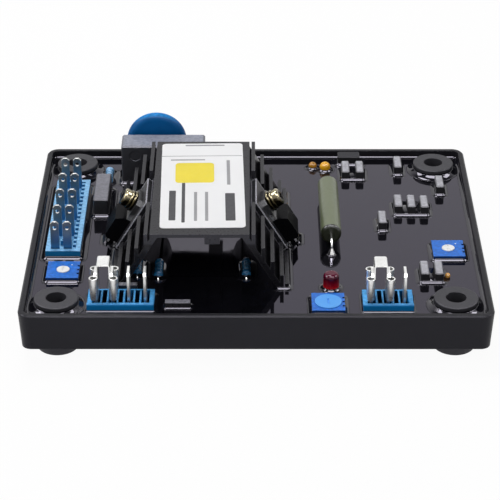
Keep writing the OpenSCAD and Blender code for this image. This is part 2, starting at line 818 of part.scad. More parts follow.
// The plastic body of a power device, moulded over its metal frame
module device(side) {
    bevel = device_t / 6;
    color([0.06, 0.06, 0.07]) on_slope(side) difference() {
        rotate([90, 0, 0]) linear_extrude(device_w, center = true) polygon([
            [body_start, 0], [body_end, 0], [body_end, device_t - bevel], [body_end - bevel, device_t],
            [body_start + body_lean, device_t], [body_start, device_t / 2]
        ]);
        frame_plate();
        frame_leads();
    }
}

// The metal frame of a power device: cooling tab and three leads
module device_frame(side) {
    color([0.62, 0.6, 0.56]) {
        on_slope(side) frame_plate();
        device_leads(side);
    }
}

module frame_plate() {
    difference() {
        linear_extrude(device_tab_t) polygon([
            [tab_start, -tab_w / 2 + tab_corner], [tab_start + tab_corner, -tab_w / 2], [tab_end, -tab_w / 2],
            [tab_end, tab_w / 2], [tab_start + tab_corner, tab_w / 2], [tab_start, tab_w / 2 - tab_corner]
        ]);
        translate([screw_s, 0, -cut]) cylinder(d = screw_d, h = device_tab_t + 2 * cut);
    }
}

module frame_leads() {
    lead_start = tab_end - lead_w;
    for (i = [-1 : 1])
        translate([lead_start, i * device_pitch - lead_w / 2, device_tab_t - cut / 2])
            cube([lead_w, lead_w, lead_height - device_tab_t + cut / 2]);
    for (i = [-1 : 1])
        translate([lead_start, i * device_pitch - lead_w / 2, lead_height - lead_t])
            cube([sink_l / 2, lead_w, lead_t]);
}

// The leads of a frame, ending on the board
module device_leads(side) {
    intersection() {
        on_slope(side) frame_leads();
        translate([-tray_w / 2, -tray_d / 2, board_top]) cube([tray_w, tray_d, sink_top]);
    }
}

// Section of a disc with a rounded rim
module rim_section(r, t) {
    square([r - t / 2, t]);
    translate([r - t / 2, t / 2]) circle(t / 2);
}

module washer(side) {
    color([0.75, 0.62, 0.32]) on_slope(side) translate([screw_s, 0, device_tab_t]) difference() {
        rotate_extrude() rim_section(washer_d / 2, washer_t);
        translate([0, 0, -cut]) cylinder(d = screw_d, h = washer_t + 2 * cut);
    }
}

// A split ring
module spring_washer(side) {
    color([0.75, 0.62, 0.32]) on_slope(side) translate([screw_s, 0, device_tab_t + washer_t]) difference() {
        rotate_extrude() rim_section(spring_d / 2, spring_t);
        translate([0, 0, -cut]) cylinder(d = screw_d, h = spring_t + 2 * cut);
        translate([0, -spring_gap / 2, -cut]) cube([spring_d, spring_gap, spring_t + 2 * cut]);
    }
}

// The clamping screw: shank, rounded head and cross recess
module screw(side) {
    head_base = device_tab_t + washer_t + spring_t;
    color([0.78, 0.66, 0.36]) on_slope(side) translate([screw_s, 0, 0]) difference() {
        union() {
            translate([0, 0, -fin_h - leg_t]) cylinder(d = screw_d, h = fin_h + leg_t + head_base + cut);
            translate([0, 0, head_base]) rotate_extrude() head_section();
        }
        for (turn = [0, 90])
            translate([0, 0, head_base + screw_head_h]) rotate([0, 0, turn])
                cube([recess_l, recess_w, 2 * recess_depth], center = true);
    }
}

module head_section() {
    flat_r = screw_head_d / 2 - head_round;
    square([flat_r, screw_head_h]);
    square([screw_head_d / 2, screw_head_h - head_round]);
    translate([flat_r, screw_head_h - head_round]) circle(head_round);
}

module left_insulator() { insulator(-1); }
module left_device() { device(-1); }
module left_device_frame() { device_frame(-1); }
module left_washer() { washer(-1); }
module left_spring_washer() { spring_washer(-1); }
module left_screw() { screw(-1); }
module right_insulator() { insulator(1); }
module right_device() { device(1); }
module right_device_frame() { device_frame(1); }
module right_washer() { washer(1); }
module right_spring_washer() { spring_washer(1); }
module right_screw() { screw(1); }

// The large box capacitor, with a round moulding mark on its front
module box_capacitor() {
    color([0.3, 0.31, 0.34]) difference() {
        moulded_box(box_at, box_w, box_d, resin_top + box_rise, box_bevel, box_bevel);
        translate([box_at[0] - box_w / 3, box_at[1] - box_d / 2 + mark_depth, mark_z])
            rotate([90, 0, 0]) cylinder(r = mark_r, h = box_d);
    }
}

module narrow_capacitor() {
    color([0.12, 0.12, 0.13])
        moulded_box(narrow_at, narrow_w, narrow_d, resin_top + narrow_rise, box_bevel, film_bevel);
}

// The lacquered surge disc, upright on two leads
module surge_disc() {
    color([0.05, 0.35, 0.65]) {
        translate([disc_at[0], disc_at[1], resin_top + disc_gap + disc_d / 2]) rotate([90, 0, 0])
            rotate_extrude() disc_section();
        disc_leads();
    }
}

module disc_section() {
    edge_r = disc_t / 2;
    translate([0, -edge_r]) square([disc_d / 2 - edge_r, disc_t]);
    intersection() {
        translate([disc_d / 2 - edge_r, 0]) circle(edge_r);
        translate([0, -edge_r]) square([disc_d, disc_t]);
    }
}

module disc_leads() {
    lead_h = resin_top + disc_gap + disc_d / 4 - board_top;
    for (x = [-1, 1])
        translate([disc_at[0] + x * disc_lead_pitch / 2, disc_at[1], board_top])
            cylinder(d = lead_d, h = lead_h);
}

// Section of a swollen end of an axial resistor
module axial_cap() {
    r = axial_d / 2;
    translate([0, -axial_cap_l / 2]) square([r - axial_round, axial_cap_l]);
    translate([0, -axial_cap_l / 2 + axial_round]) square([r, axial_cap_l - 2 * axial_round]);
    for (y = [-1, 1]) translate([r - axial_round, y * (axial_cap_l / 2 - axial_round)]) circle(axial_round);
}

// A small axial resistor lying along Y, half sunk in the resin, with raised bands
module axial_resistor(p) {
    waist_r = axial_d / 2 - axial_waist;
    translate([p[0], p[1], axial_axis]) rotate([90, 0, 0]) rotate_extrude() {
        translate([0, -axial_l / 2 + axial_round]) square([waist_r, axial_l - 2 * axial_round]);
        for (y = [-1, 1]) translate([0, y * (axial_l - axial_cap_l) / 2]) axial_cap();
        for (i = [0 : band_count - 1])
            translate([0, (i - (band_count - 1) / 2) * band_pitch - band_l / 2])
                square([waist_r + axial_waist / 2, band_l]);
    }
}

module corner_resistor() { color([0.5, 0.72, 0.88]) axial_resistor(corner_resistor_at); }
module arch_resistors() { color([0.08, 0.3, 0.42]) for (p = arch_at) axial_resistor(p); }

// The enamelled wirewound resistor, lying along Y just clear of the resin
module wirewound_resistor() {
    flat_r = wound_d / 2 - wound_end_r;
    color([0.36, 0.42, 0.26]) translate([wound_at[0], wound_at[1], wound_axis]) rotate([90, 0, 0])
        rotate_extrude() {
            translate([0, -wound_l / 2]) square([flat_r, wound_l]);
            translate([0, -wound_l / 2 + wound_end_r]) square([wound_d / 2, wound_l - 2 * wound_end_r]);
            for (y = [-1, 1]) translate([flat_r, y * (wound_l / 2 - wound_end_r)]) circle(wound_end_r);
        }
}

// The bare leads of the wirewound and the small axial resistors
module component_leads() {
    color([0.8, 0.8, 0.8]) {
        axial_leads(wound_at, wound_l, wound_axis, lead_reach, lead_bend);
        swollen_feet();
        for (p = concat([corner_resistor_at], arch_at))
            axial_leads(p, axial_l, axial_axis, axial_reach, axial_bend);
    }
}

// Straight out of both ends of a body along Y, then bent down to the board
module axial_leads(p, body_l, axis, reach, bend) {
    for (side = [0, 1])
        translate([p[0], p[1], 0]) mirror([0, side, 0]) {
            translate([0, body_l / 2 + reach - bend, axis]) rotate([90, 0, 0])
                cylinder(d = lead_d, h = reach - bend);
            translate([0, body_l / 2 + reach - bend, axis - bend]) rotate([0, -90, 0])
                rotate_extrude(angle = 90) translate([bend, 0]) circle(d = lead_d);
            translate([0, body_l / 2 + reach, board_top]) cylinder(d = lead_d, h = axis - bend - board_top);
        }
}

// The leads of the wirewound resistor swell just above the resin
module swollen_feet() {
    swell_h = wound_axis - lead_bend - resin_top;
    for (y = [-1, 1])
        translate([wound_at[0], wound_at[1] + y * (wound_l / 2 + lead_reach), resin_top]) rotate_extrude()
            polygon([[0, 0], [lead_d / 2, 0], [swell_r, swell_low], [lead_d / 2, swell_h], [0, swell_h]]);
}

// The indicator lamp: a short lens with a rounded upper edge
module indicator_lamp() {
    lens_r = lamp_d / 2;
    lens_h = resin_top + lamp_rise - board_top;
    color([0.6, 0.02, 0.06]) translate([lamp_at[0], lamp_at[1], board_top]) rotate_extrude() {
        square([lens_r - lamp_round, lens_h]);
        square([lens_r, lens_h - lamp_round]);
        intersection() {
            translate([lens_r - lamp_round, lens_h - lamp_round]) circle(lamp_round);
            square([lens_r, lens_h]);
        }
    }
}

// A dipped bead on a stem of its own lacquer
module bead(p, r) {
    centre = resin_top + bead_float * r;
    translate([p[0], p[1], centre]) rotate_extrude() {
        intersection() {
            circle(r);
            translate([0, -r]) square([r, 2 * r]);
        }
        translate([0, board_top - centre]) square([bead_stem * r, centre - board_top]);
    }
}

module back_bead_small() { color([0.93, 0.65, 0.1]) bead(back_bead_small_at, bead_small_r); }
module back_bead_large() { color([0.93, 0.65, 0.1]) bead(back_bead_large_at, bead_large_r); }
module side_bead() { color([0.85, 0.4, 0.1]) bead(side_bead_at, bead_side_r); }

// The small film capacitors
module film_capacitor(i) {
    color([0.2, 0.2, 0.22])
        moulded_box(film_at[i - 1], film_w, film_d, resin_top + film_rise, film_corner, film_bevel);
}

module wide_capacitor() {
    color([0.2, 0.2, 0.22])
        moulded_box(wide_at, wide_w, wide_d, resin_top + film_rise, film_corner, film_bevel);
}

// In-line resistor networks, lying low at the front
module network(p, size, rise) {
    color([0.25, 0.25, 0.27]) translate([p[0], p[1], board_top])
        linear_extrude(resin_top + rise - board_top) square(size, center = true);
}

module front_network() { network(front_network_at, front_network_size, front_network_rise); }
module rear_network() { network(rear_network_at, rear_network_size, rear_network_rise); }

tray();
resin();
circuit_board();
bush_front_left();
bush_front_right();
bush_back_left();
bush_back_right();
terminal_block();
terminal_tabs();
left_header();
left_header_tabs();
left_link();
right_header();
right_header_tabs();
right_link();
left_trimmer();
left_rotor();
right_trimmer();
right_rotor();
front_trimmer();
front_rotor();
heatsink();
label();
left_insulator();
left_device();
left_device_frame();
left_washer();
left_spring_washer();
left_screw();
right_insulator();
right_device();
right_device_frame();
right_washer();
right_spring_washer();
right_screw();
box_capacitor();
surge_disc();
narrow_capacitor();
corner_resistor();
arch_resistors();
wirewound_resistor();
component_leads();
indicator_lamp();
back_bead_small();
back_bead_large();
side_bead();
film_capacitor(1);  // film_capacitor_1
film_capacitor(2);  // film_capacitor_2
film_capacitor(3);  // film_capacitor_3
film_capacitor(4);  // film_capacitor_4
film_capacitor(5);  // film_capacitor_5
film_capacitor(6);  // film_capacitor_6
film_capacitor(7);  // film_capacitor_7
film_capacitor(8);  // film_capacitor_8
film_capacitor(9);  // film_capacitor_9
film_capacitor(10);  // film_capacitor_10
wide_capacitor();
front_network();
rear_network();
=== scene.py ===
import json
import math

import bmesh
import bpy
from mathutils import Matrix, Vector


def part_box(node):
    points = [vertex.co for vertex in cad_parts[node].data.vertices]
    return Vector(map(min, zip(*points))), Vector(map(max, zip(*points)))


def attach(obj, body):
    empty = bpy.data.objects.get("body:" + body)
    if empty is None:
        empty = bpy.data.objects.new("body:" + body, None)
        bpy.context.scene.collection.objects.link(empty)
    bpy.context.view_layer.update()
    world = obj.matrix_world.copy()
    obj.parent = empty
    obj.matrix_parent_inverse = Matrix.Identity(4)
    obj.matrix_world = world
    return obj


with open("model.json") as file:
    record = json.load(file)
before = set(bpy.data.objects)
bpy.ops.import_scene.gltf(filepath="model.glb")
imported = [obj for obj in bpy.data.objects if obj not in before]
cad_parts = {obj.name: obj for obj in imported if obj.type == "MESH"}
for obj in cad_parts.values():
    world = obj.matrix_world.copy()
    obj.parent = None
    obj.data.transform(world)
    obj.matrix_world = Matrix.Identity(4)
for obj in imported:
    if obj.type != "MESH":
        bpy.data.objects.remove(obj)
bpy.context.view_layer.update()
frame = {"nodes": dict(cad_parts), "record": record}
nodes = frame["nodes"]
scene = bpy.context.scene
scene.view_settings.view_transform = "Standard"

MM = 0.001
RESIN_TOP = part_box("resin")[1].z

# Camera at the photograph's viewing angle
CAMERA_PLACE = (-0.00194, -0.6096, 0.3493)
CAMERA_TILT = math.radians(60.78)
SENSOR_MM = 36.0
LENS_MM = 148.03
NEAR, FAR = 0.05, 20.0


def make_camera():
    data = bpy.data.cameras.new("camera")
    data.sensor_width = SENSOR_MM
    data.lens = LENS_MM
    data.clip_start, data.clip_end = NEAR, FAR
    obj = bpy.data.objects.new("camera", data)
    obj.location = CAMERA_PLACE
    obj.rotation_euler = (CAMERA_TILT, 0.0, 0.0)
    scene.collection.objects.link(obj)
    scene.camera = obj


# Shader helpers
# Nearly all of a noise lies between these two values
NOISE_LOW, NOISE_HIGH = 0.3, 0.7
NOISE_ROUGHNESS = 0.55
# Upward part of a face's normal from which the face starts to count as a top, and at which it is one
TOP_STARTS, TOP_FULL = 0.6, 0.9
# Open share of the sky inside a hollow and outside it, for the shade painted in hollows
HOLLOW_FULL, HOLLOW_ENDS = 0.5, 0.95
HOLLOW_SAMPLES = 6
# How far a softened normal agrees with the face's own, away from an edge and on it
EDGE_STARTS, EDGE_FULL = 0.995, 0.93
BEVEL_SAMPLES = 4


def new_material(name):
    mat = bpy.data.materials.new(name)
    mat.use_nodes = True
    return mat, mat.node_tree, mat.node_tree.nodes["Principled BSDF"]


def noise(tree, scale, detail=4.0):
    coord = tree.nodes.new("ShaderNodeTexCoord")
    tex = tree.nodes.new("ShaderNodeTexNoise")
    tex.inputs["Scale"].default_value = scale
    tex.inputs["Detail"].default_value = detail
    tex.inputs["Roughness"].default_value = NOISE_ROUGHNESS
    tree.links.new(coord.outputs["Object"], tex.inputs["Vector"])
    return tex.outputs["Fac"]


def ramp(tree, fac, stops):
    node = tree.nodes.new("ShaderNodeValToRGB")
    elements = node.color_ramp.elements
    elements.remove(elements[1])
    elements[0].position = stops[0][0]
    elements[0].color = (*stops[0][1], 1.0)
    for pos, color in stops[1:]:
        elements.new(pos).color = (*color, 1.0)
    tree.links.new(fac, node.inputs["Fac"])
    return node.outputs["Color"]


def mottle(tree, fac, dark, pale):
    """Two colours, patched by a noise."""
    return ramp(tree, fac, [(NOISE_LOW, dark), (NOISE_HIGH, pale)])


def remap(tree, value, start, end, low=0.0, high=1.0):
    """low up to the start, high from the end on, and an even change between them."""
    node = tree.nodes.new("ShaderNodeMapRange")
    for socket, number in (("From Min", start), ("From Max", end), ("To Min", low), ("To Max", high)):
        node.inputs[socket].default_value = number
    tree.links.new(value, node.inputs["Value"])
    return node.outputs["Result"]


def axis_of(tree, vector, axis):
    node = tree.nodes.new("ShaderNodeSeparateXYZ")
    tree.links.new(vector, node.inputs["Vector"])
    return node.outputs[axis]


def upward(tree):
    """1 on faces that look up, 0 on upright and lower ones."""
    geo = tree.nodes.new("ShaderNodeNewGeometry")
    return remap(tree, axis_of(tree, geo.outputs["Normal"], "Z"), TOP_STARTS, TOP_FULL)


def along(tree, axis, low, high):
    """0 up to one place along an axis of the piece, 1 from another place on."""
    coord = tree.nodes.new("ShaderNodeTexCoord")
    return remap(tree, axis_of(tree, coord.outputs["Object"], axis), low, high)


def fade(axis, low, high, stops):
    """A colour that changes along an axis of the piece, made once the material's tree is there."""
    return lambda tree: ramp(tree, along(tree, axis, low, high), stops)


def hollows(tree, reach_mm, local):
    """0 far inside hollows, the piece's own or any, and 1 in the open: the mask of the painted shade in
    hollows.
    """
    node = tree.nodes.new("ShaderNodeAmbientOcclusion")
    node.samples = HOLLOW_SAMPLES
    node.only_local = local
    node.inputs["Distance"].default_value = reach_mm * MM
    return remap(tree, node.outputs["AO"], HOLLOW_FULL, HOLLOW_ENDS)


def edges(tree, normal):
    """1 along sharp edges, 0 on the faces between them: the mask of the painted highlight on edges."""
    geo = tree.nodes.new("ShaderNodeNewGeometry")
    node = tree.nodes.new("ShaderNodeVectorMath")
    node.operation = "DOT_PRODUCT"
    tree.links.new(geo.outputs["Normal"], node.inputs[0])
    tree.links.new(normal, node.inputs[1])
    return remap(tree, node.outputs["Value"], EDGE_STARTS, EDGE_FULL)


def mix_color(tree, fac, a, b):
    node = tree.nodes.new("ShaderNodeMix")
    node.data_type = "RGBA"
    tree.links.new(fac, node.inputs[0])
    for socket, value in ((node.inputs[6], a), (node.inputs[7], b)):
        if isinstance(value, tuple):
            socket.default_value = (*value, 1.0)
        else:
            tree.links.new(value, socket)
    return node.outputs[2]


def bump(tree, height, strength, depth_mm):
    node = tree.nodes.new("ShaderNodeBump")
    node.inputs["Strength"].default_value = strength
    node.inputs["Distance"].default_value = depth_mm * MM
    tree.links.new(height, node.inputs["Height"])
    return node


def shade(color, factor):
    return tuple(min(1.0, c * factor) for c in color)


# Surfaces
COOL_GLOSS = (0.92, 0.9, 1.0)
COAT_ROUGHNESS = 0.05
LEAST_ROUGHNESS = 0.02
BLOTCH_DETAIL = 3.0
GRAIN_MM = 0.02
# Speckle of the painted light on a top face: how much darker and paler it gets, and where in the noise it is
# palest
TOP_DARKER, TOP_PALER, TOP_PALEST_AT = 0.72, 1.22, 0.72


def surface(name, color, rough, *, spread=0.12, grain=900.0, relief=0.04, edge_mm=0.12, metal=0.0,
            level=0.5, coat=0.0, top=None, deep=None, rim=None, rough_spread=0.08, blotch=60.0):
    """A moulded, painted or metal surface: mottled colour, uneven gloss, fine grain and softened edges.

    color is one colour or a fade. The colour for upward faces is painted light, set apart from the sides by
    how the light falls; the one for hollows is painted shade; the one for edges is a painted highlight.
    """
    mat, tree, bsdf = new_material(name)
    fine = noise(tree, grain)
    bevel = tree.nodes.new("ShaderNodeBevel")
    bevel.samples = BEVEL_SAMPLES
    bevel.inputs["Radius"].default_value = edge_mm * MM
    if callable(color):
        body = color(tree)
    else:
        broad = noise(tree, blotch, BLOTCH_DETAIL)
        body = mottle(tree, broad, shade(color, 1.0 - spread), shade(color, 1.0 + spread))
    # Painted light: upward faces get their own colour, set apart from the sides by how the light falls on
    # them
    if top is not None:
        speckle = [(NOISE_LOW, shade(top, TOP_DARKER)), (TOP_PALEST_AT, shade(top, TOP_PALER))]
        body = mix_color(tree, upward(tree), body, ramp(tree, fine, speckle))
    # Painted shade: hollows get a darker colour, as if in shade
    if deep is not None:
        dark, reach_mm, local = deep
        body = mix_color(tree, hollows(tree, reach_mm, local), dark, body)
    # Painted highlight: edges get a paler colour, as if they caught the light
    if rim is not None:
        body = mix_color(tree, edges(tree, bevel.outputs["Normal"]), body, rim)
    tree.links.new(body, bsdf.inputs["Base Color"])
    gloss = max(LEAST_ROUGHNESS, rough - rough_spread), min(1.0, rough + rough_spread)
    tree.links.new(remap(tree, fine, NOISE_LOW, NOISE_HIGH, *gloss), bsdf.inputs["Roughness"])
    bsdf.inputs["Metallic"].default_value = metal
    bsdf.inputs["Specular IOR Level"].default_value = level
    if metal == 0.0:
        bsdf.inputs["Specular Tint"].default_value = (*COOL_GLOSS, 1.0)
    bsdf.inputs["Coat Weight"].default_value = coat
    bsdf.inputs["Coat Roughness"].default_value = COAT_ROUGHNESS
    grained = bump(tree, fine, relief, GRAIN_MM)
    tree.links.new(bevel.outputs["Normal"], grained.inputs["Normal"])
    tree.links.new(grained.outputs["Normal"], bsdf.inputs["Normal"])
    return mat


def wire(name, color, rough, **more):
    """Bare or plated metal."""
    return surface(name, color, rough, metal=1.0, spread=0.1, grain=1500.0, relief=0.03, edge_mm=0.08,
                   blotch=250.0, rough_spread=0.04, **more)


RESIN_DARK, RESIN_PALE = (0.004, 0.004, 0.006), (0.008, 0.008, 0.012)
RESIN_ROUGHNESS = (0.03, 0.07)
RESIN_LEVEL = 0.55
RESIN_WAVES, RESIN_WAVE_DETAIL = 45.0, 2.0
RESIN_GRAIN, RESIN_GRAIN_DETAIL = 420.0, 3.0
RESIN_RELIEF, RESIN_RELIEF_MM = 0.25, 0.12
RESIN_GLOSS = (0.72, 0.62, 1.0)
CREEP_GLOSS = (0.9, 0.86, 1.0)


def cast_resin(name, gloss):
    """Glossy black casting resin with a slightly uneven, mirror-like skin."""
    mat, tree, bsdf = new_material(name)
    waves = noise(tree, RESIN_WAVES, RESIN_WAVE_DETAIL)
    fine = noise(tree, RESIN_GRAIN, RESIN_GRAIN_DETAIL)
    tree.links.new(mottle(tree, fine, RESIN_DARK, RESIN_PALE), bsdf.inputs["Base Color"])
    tree.links.new(remap(tree, fine, NOISE_LOW, NOISE_HIGH, *RESIN_ROUGHNESS), bsdf.inputs["Roughness"])
    bsdf.inputs["Specular IOR Level"].default_value = RESIN_LEVEL
    bsdf.inputs["Specular Tint"].default_value = (*gloss, 1.0)
    skin = bump(tree, waves, RESIN_RELIEF, RESIN_RELIEF_MM)
    tree.links.new(skin.outputs["Normal"], bsdf.inputs["Normal"])
    return mat


# Colours that change along a piece; besides the wirewound's, these are painted light and shade, a painted
# glow and a painted reflection
WOUND_END = 1.2 * MM
WOUND_END_DARK = 0.9
SINK_PLATE = 4.0 * MM
SCREW_SHOWN = 6.0 * MM
FRAME_CHANGE = 0.06


def wound_fade():
    """The wirewound body is darker at its two rounded ends."""
    lo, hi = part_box("wirewound_resistor")
    share = WOUND_END / (hi.y - lo.y)
    dark = WOUND_END_DARK * share
    body, end = (0.13, 0.155, 0.075), (0.016, 0.02, 0.006)
    stops = [(0.0, end), (dark, end), (share, body), (1.0 - share, body), (1.0 - dark, end)]
    return fade("Y", lo.y, hi.y, stops)


def frame_painted_highlight():
    """The device's metal frame is bright up to the top of the device's body, a painted highlight on its thin
    leads, and dark above it.
    """
    lo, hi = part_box("left_device_frame")
    body_top = (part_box("left_device")[1].z - lo.z) / (hi.z - lo.z)
    return fade("Z", lo.z, hi.z, [(0.0, (0.85, 0.85, 0.85)), (body_top, (0.7, 0.7, 0.7)),
                                  (body_top + FRAME_CHANGE, (0.12, 0.12, 0.125))])


def screw_painted_shade():
    """Painted light and shade: the screw is dark low down and brighter towards its top."""
    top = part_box("left_screw")[1].z
    return fade("Z", top - SCREW_SHOWN, top, [(0.0, (0.015, 0.012, 0.006)), (0.55, (0.04, 0.032, 0.016)),
                                              (0.8, (0.2, 0.175, 0.115)), (1.0, (0.34, 0.3, 0.2))])


def sink_painted_shade():
    """Painted shade: the heatsink is darker below its top plate, in the plate's shade."""
    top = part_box("heatsink")[1].z
    return fade("Z", top - SINK_PLATE, top, [(0.0, (0.005, 0.005, 0.0065)), (0.2, (0.037, 0.037, 0.045))])


def lamp_painted_glow():
    """Painted glow: the lamp is a bright red at the resin and a dark red above, with a painted highlight at
    its very top.
    """
    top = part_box("indicator_lamp")[1].z
    return fade("Z", RESIN_TOP, top, [(0.0, (0.75, 0.012, 0.012)), (0.4, (0.25, 0.001, 0.012)),
                                      (0.75, (0.06, 0.0, 0.008)), (1.0, (0.1, 0.002, 0.02))])


def tab_painted_reflection():
    """Painted reflection: the terminals are blue low down, mirroring the block that they stand in, and grey
    above.
    """
    low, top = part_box("terminal_block")[1].z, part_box("terminal_tabs")[1].z
    return fade("Z", low, top, [(0.0, (0.07, 0.22, 0.4)), (0.3, (0.13, 0.23, 0.31)),
                                (0.6, (0.2, 0.26, 0.28)), (1.0, (0.24, 0.25, 0.25))])


# Materials, one for each slot of the record. Their colours for upward faces are painted light, those for
# hollows painted shade and those for edges painted highlights
MATERIALS = {
    "tray_plastic": surface("tray_plastic", (0.0105, 0.0105, 0.0135), 0.38, level=0.17, edge_mm=0.5,
                            grain=1400.0, relief=0.06),
    "resin": cast_resin("resin", RESIN_GLOSS),
    "board_laminate": surface("board_laminate", (0.02, 0.09, 0.04), 0.5),
    "bush_rubber": surface("bush_rubber", (0.024, 0.024, 0.028), 0.5, level=0.4, edge_mm=0.3, grain=1100.0,
                           relief=0.1),
    "block_blue": surface("block_blue", (0.006, 0.165, 0.4), 0.35, top=(0.24, 0.53, 0.9),
                          deep=((0.07, 0.25, 0.46), 1.5, True), level=0.25, edge_mm=0.2),
    "tinned_terminal": wire("tinned_terminal", (0.8, 0.8, 0.79), 0.3),
    "header_blue": surface("header_blue", (0.005, 0.21, 0.56), 0.45, top=(0.08, 0.35, 0.72),
                           deep=((0.002, 0.012, 0.03), 2.5, True), level=0.1, edge_mm=0.3),
    "trimmer_blue": surface("trimmer_blue", (0.006, 0.045, 0.2), 0.35, top=(0.014, 0.165, 0.67), level=0.26),
    "rotor_white": surface("rotor_white", (0.88, 0.88, 0.87), 0.5, spread=0.04),
    "rotor_blue": surface("rotor_blue", (0.075, 0.38, 0.94), 0.45, spread=0.06),
    "black_anodised": surface("black_anodised", sink_painted_shade(), 0.32, top=(0.011, 0.011, 0.0135), level=0.28,
                              edge_mm=0.2, grain=1300.0, relief=0.05, rim=(0.07, 0.07, 0.08)),
    "label_white": surface("label_white", (0.86, 0.86, 0.87), 0.5, spread=0.02, level=0.3),
    "insulator_grey": surface("insulator_grey", (0.014, 0.014, 0.017), 0.4, level=0.2, edge_mm=0.7,
                              rim=(0.85, 0.85, 0.95)),
    "device_black": surface("device_black", (0.003, 0.003, 0.004), 0.35, level=0.04, edge_mm=0.25),
    "device_metal": wire("device_metal", frame_painted_highlight(), 0.3),
    "screw_brass": wire("screw_brass", screw_painted_shade(), 0.14, deep=((0.01, 0.008, 0.003), 2.0, False)),
    "box_grey": surface("box_grey", (0.04, 0.041, 0.048), 0.4, top=(0.27, 0.285, 0.35), level=0.35,
                        edge_mm=0.3),
    "disc_blue": surface("disc_blue", (0.0, 0.095, 0.3), 0.4, top=(0.004, 0.24, 0.66), level=0.12,
                         edge_mm=0.3, blotch=120.0),
    "narrow_black": surface("narrow_black", (0.025, 0.025, 0.028), 0.4, top=(0.19, 0.19, 0.22), level=0.35,
                            edge_mm=0.3),
    "corner_blue": surface("corner_blue", (0.14, 0.4, 0.7), 0.3, coat=0.2, top=(0.25, 0.52, 0.85),
                           deep=((0.01, 0.07, 0.16), 1.2, True), rim=(0.4, 0.68, 0.95)),
    "resistor_blue": surface("resistor_blue", (0.008, 0.13, 0.3), 0.25, coat=0.3,
                             deep=((0.002, 0.02, 0.05), 1.2, True), rim=(0.06, 0.34, 0.6)),
    "enamel_green": surface("enamel_green", wound_fade(), 0.36, coat=0.15),
    "lead_tin": wire("lead_tin", (0.85, 0.85, 0.85), 0.18),
    "lamp_red": surface("lamp_red", lamp_painted_glow(), 0.12, level=0.25, coat=0.05),
    "bead_amber": surface("bead_amber", (0.95, 0.45, 0.005), 0.28, level=0.35, coat=0.15),
    "bead_orange": surface("bead_orange", (0.95, 0.46, 0.09), 0.28, level=0.35, coat=0.3),
    "film_grey": surface("film_grey", (0.02, 0.02, 0.022), 0.4, top=(0.42, 0.42, 0.46), level=0.3,
                         edge_mm=0.2),
    "network_black": surface("network_black", (0.025, 0.025, 0.028), 0.3, top=(0.19, 0.19, 0.22), level=0.35),
}
# Finishes of single pieces that differ from the rest of their slot
OWN_FINISH = {
    # The terminals: a painted reflection of the block low down, painted light on their tops and painted
    # highlights along their edges
    "terminal_tabs": wire("tab_tin", tab_painted_reflection(), 0.35, top=(0.85, 0.85, 0.85), rim=(0.5, 0.52, 0.52)),
    "wide_capacitor": surface("wide_dark", (0.02, 0.02, 0.022), 0.4, top=(0.028, 0.028, 0.034), level=0.12,
                              edge_mm=0.2),
    "back_bead_small": surface("bead_brown", (0.48, 0.21, 0.003), 0.28, level=0.35, coat=0.15),
}
RESIN_EDGE = cast_resin("resin_edge", CREEP_GLOSS)
INK_DARK = surface("ink_dark", (0.03, 0.03, 0.032), 0.5, spread=0.1)
INK_GREY = surface("ink_grey", (0.3, 0.3, 0.31), 0.5, spread=0.1)
INK_YELLOW = surface("ink_yellow", (0.86, 0.7, 0.02), 0.45, spread=0.05)


def dress_nodes():
    for part in frame["record"]["subparts"]:
        obj = nodes[part["node"]]
        obj.data.materials.clear()
        obj.data.materials.append(OWN_FINISH.get(part["node"], MATERIALS[part["material_slot"]]))


# Mesh helpers
WELD = 0.001 * MM
CORNER_STEPS = 6
BODY_GAP = 1.0 * MM


def add_piece(name, bm, material):
    mesh = bpy.data.meshes.new(name)
    bmesh.ops.remove_doubles(bm, verts=bm.verts, dist=WELD)
    bmesh.ops.recalc_face_normals(bm, faces=bm.faces)
    bm.to_mesh(mesh)
    bm.free()
    mesh.materials.append(material)
    obj = bpy.data.objects.new(name, mesh)
    scene.collection.objects.link(obj)
    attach(obj, "base")
    return obj


def smooth(obj):
    for polygon in obj.data.polygons:
        polygon.use_smooth = True
    return obj


def outline(x, y, w, d, r):
    """Points of a rounded rectangle, anticlockwise."""
    points = []
    for cx, cy, start in ((1, 1, 0), (-1, 1, 90), (-1, -1, 180), (1, -1, 270)):
        for i in range(CORNER_STEPS + 1):
            a = math.radians(start + 90 * i / CORNER_STEPS)
            points.append((x + cx * (w / 2 - r) + r * math.cos(a), y + cy * (d / 2 - r) + r * math.sin(a)))
    return points


def loft(bm, loops, closed=False):
    """Joins closed loops of equal length with quads, and the last to the first if closed."""
    rings = [[bm.verts.new(p) for p in loop] for loop in loops]
    for a, b in zip(rings, rings[1:] + rings[:1] if closed else rings[1:]):
        for i in range(len(a)):
            j = (i + 1) % len(a)
            bm.faces.new((a[i], a[j], b[j], b[i]))
    return rings


def cap(bm, rings):
    """Closes both ends of a loft."""
    bm.faces.new(rings[0])
    bm.faces.new(list(reversed(rings[-1])))


def plate(bm, x, y, w, d, r, z, t):
    """A thin flat plate with rounded corners."""
    base = outline(x, y, w, d, r)
    cap(bm, loft(bm, [[(px, py, height) for px, py in base] for height in (z + t, z)]))


def middle_of(lo, hi):
    return (lo.x + hi.x) / 2, (lo.y + hi.y) / 2


def box_of(points):
    return [Vector(pick(p[i] for p in points) for i in range(3)) for pick in (min, max)]


def points_of(name):
    return [nodes[name].matrix_world @ v.co for v in nodes[name].data.vertices]


def joint_box(names):
    return box_of([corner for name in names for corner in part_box(name)])


def bodies(name):
    """Boxes of the bodies of one node that stand side by side along X."""
    points = sorted(points_of(name), key=lambda p: p.x)
    groups = [[points[0]]]
    for last, point in zip(points, points[1:]):
        if point.x - last.x > BODY_GAP:
            groups.append([])
        groups[-1].append(point)
    return [box_of(group) for group in groups]


